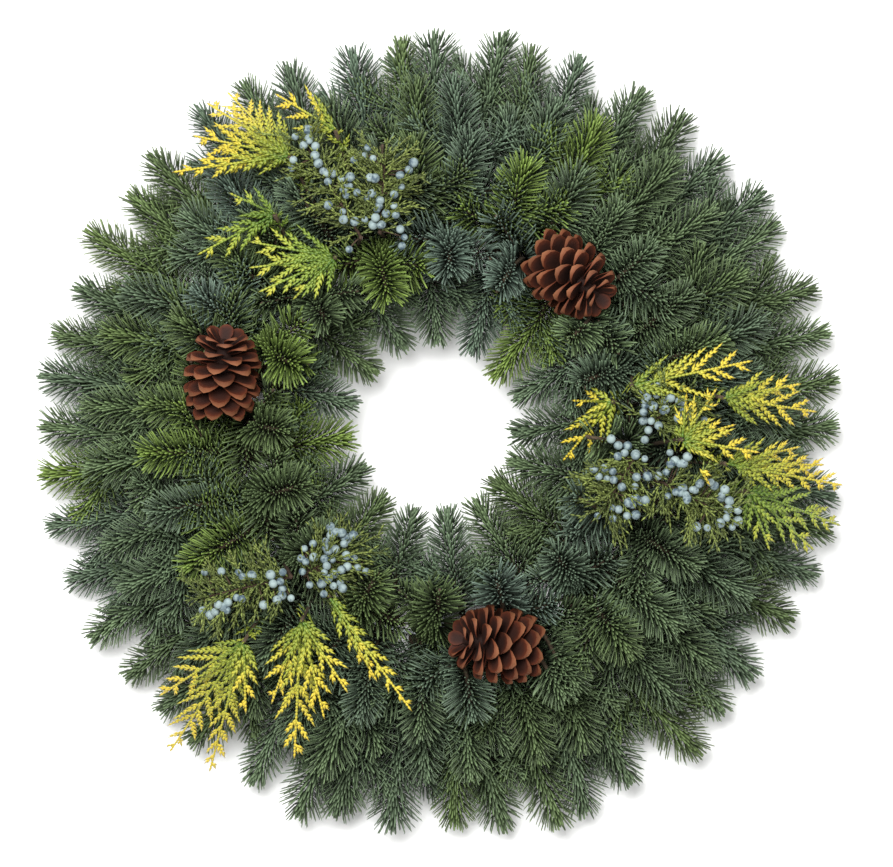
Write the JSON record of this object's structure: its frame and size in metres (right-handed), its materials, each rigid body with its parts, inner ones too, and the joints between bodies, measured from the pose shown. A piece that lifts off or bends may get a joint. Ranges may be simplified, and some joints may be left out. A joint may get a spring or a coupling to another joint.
{
  "type": "fresh evergreen wreath",
  "caption": "Round wreath of fir sprays on a clamp ring, with golden cedar fronds, berried juniper and open pine cones, lying on its back.",
  "frame": {"origin": "centre of the wreath's box on the surface that it lies on", "axes": "+Z out of the wreath's face, +Y towards its top, +X to the right seen from the front"},
  "size_m": [0.6084, 0.6098, 0.1411],
  "materials": {
    "galvanised_wire": "dull galvanised steel",
    "florist_wire": "dark annealed wire",
    "fir_foliage": "waxy blue-green needles on brown twigs",
    "pine_cone_scales": "dry red-brown scales with tan lips",
    "cedar_gold": "golden scale leaves fading to green",
    "cedar_green": "yellow-green scale leaves",
    "juniper_foliage": "olive scale leaves with bloom-covered blue berries"
  },
  "bodies": {
    "root": {"wire_ring_frame": "galvanised_wire", "fir_branch_outer_01": "fir_foliage", "fir_branch_inner_01": "fir_foliage", "fir_branch_outer_02": "fir_foliage", "fir_branch_inner_02": "fir_foliage", "fir_branch_outer_03": "fir_foliage", "fir_branch_inner_03": "fir_foliage", "fir_branch_outer_04": "fir_foliage", "fir_branch_inner_04": "fir_foliage", "fir_branch_outer_05": "fir_foliage", "fir_branch_inner_05": "fir_foliage", "fir_branch_outer_06": "fir_foliage", "fir_branch_inner_06": "fir_foliage", "fir_branch_outer_07": "fir_foliage", "fir_branch_inner_07": "fir_foliage", "fir_branch_outer_08": "fir_foliage", "fir_branch_inner_08": "fir_foliage", "fir_branch_outer_09": "fir_foliage", "fir_branch_inner_09": "fir_foliage", "fir_branch_outer_10": "fir_foliage", "fir_branch_inner_10": "fir_foliage", "fir_branch_outer_11": "fir_foliage", "fir_branch_inner_11": "fir_foliage", "fir_branch_outer_12": "fir_foliage", "fir_branch_inner_12": "fir_foliage", "fir_branch_outer_13": "fir_foliage", "fir_branch_inner_13": "fir_foliage", "fir_branch_outer_14": "fir_foliage", "fir_branch_inner_14": "fir_foliage", "fir_branch_outer_15": "fir_foliage", "fir_branch_inner_15": "fir_foliage", "fir_branch_outer_16": "fir_foliage", "fir_branch_inner_16": "fir_foliage", "pine_cone_left": "pine_cone_scales", "pine_cone_right": "pine_cone_scales", "pine_cone_bottom": "pine_cone_scales", "cone_wire_left": "florist_wire", "cone_wire_right": "florist_wire", "cone_wire_bottom": "florist_wire", "cedar_top_gold": "cedar_gold", "cedar_top_tip": "cedar_gold", "cedar_right_long": "cedar_gold", "cedar_right_inner": "cedar_gold", "cedar_right_outer": "cedar_gold", "cedar_right_star": "cedar_gold", "cedar_right_fan": "cedar_gold", "cedar_bottom_left": "cedar_gold", "cedar_bottom_middle": "cedar_gold", "cedar_bottom_thin": "cedar_gold", "cedar_top_green": "cedar_green", "cedar_top_fan": "cedar_green", "cedar_right_green": "cedar_green", "juniper_top_left": "juniper_foliage", "juniper_top_right": "juniper_foliage", "juniper_right_outer": "juniper_foliage", "juniper_right_inner": "juniper_foliage", "juniper_right_top": "juniper_foliage", "juniper_bottom_left": "juniper_foliage", "juniper_bottom_right": "juniper_foliage"}
  },
  "joints": []
}
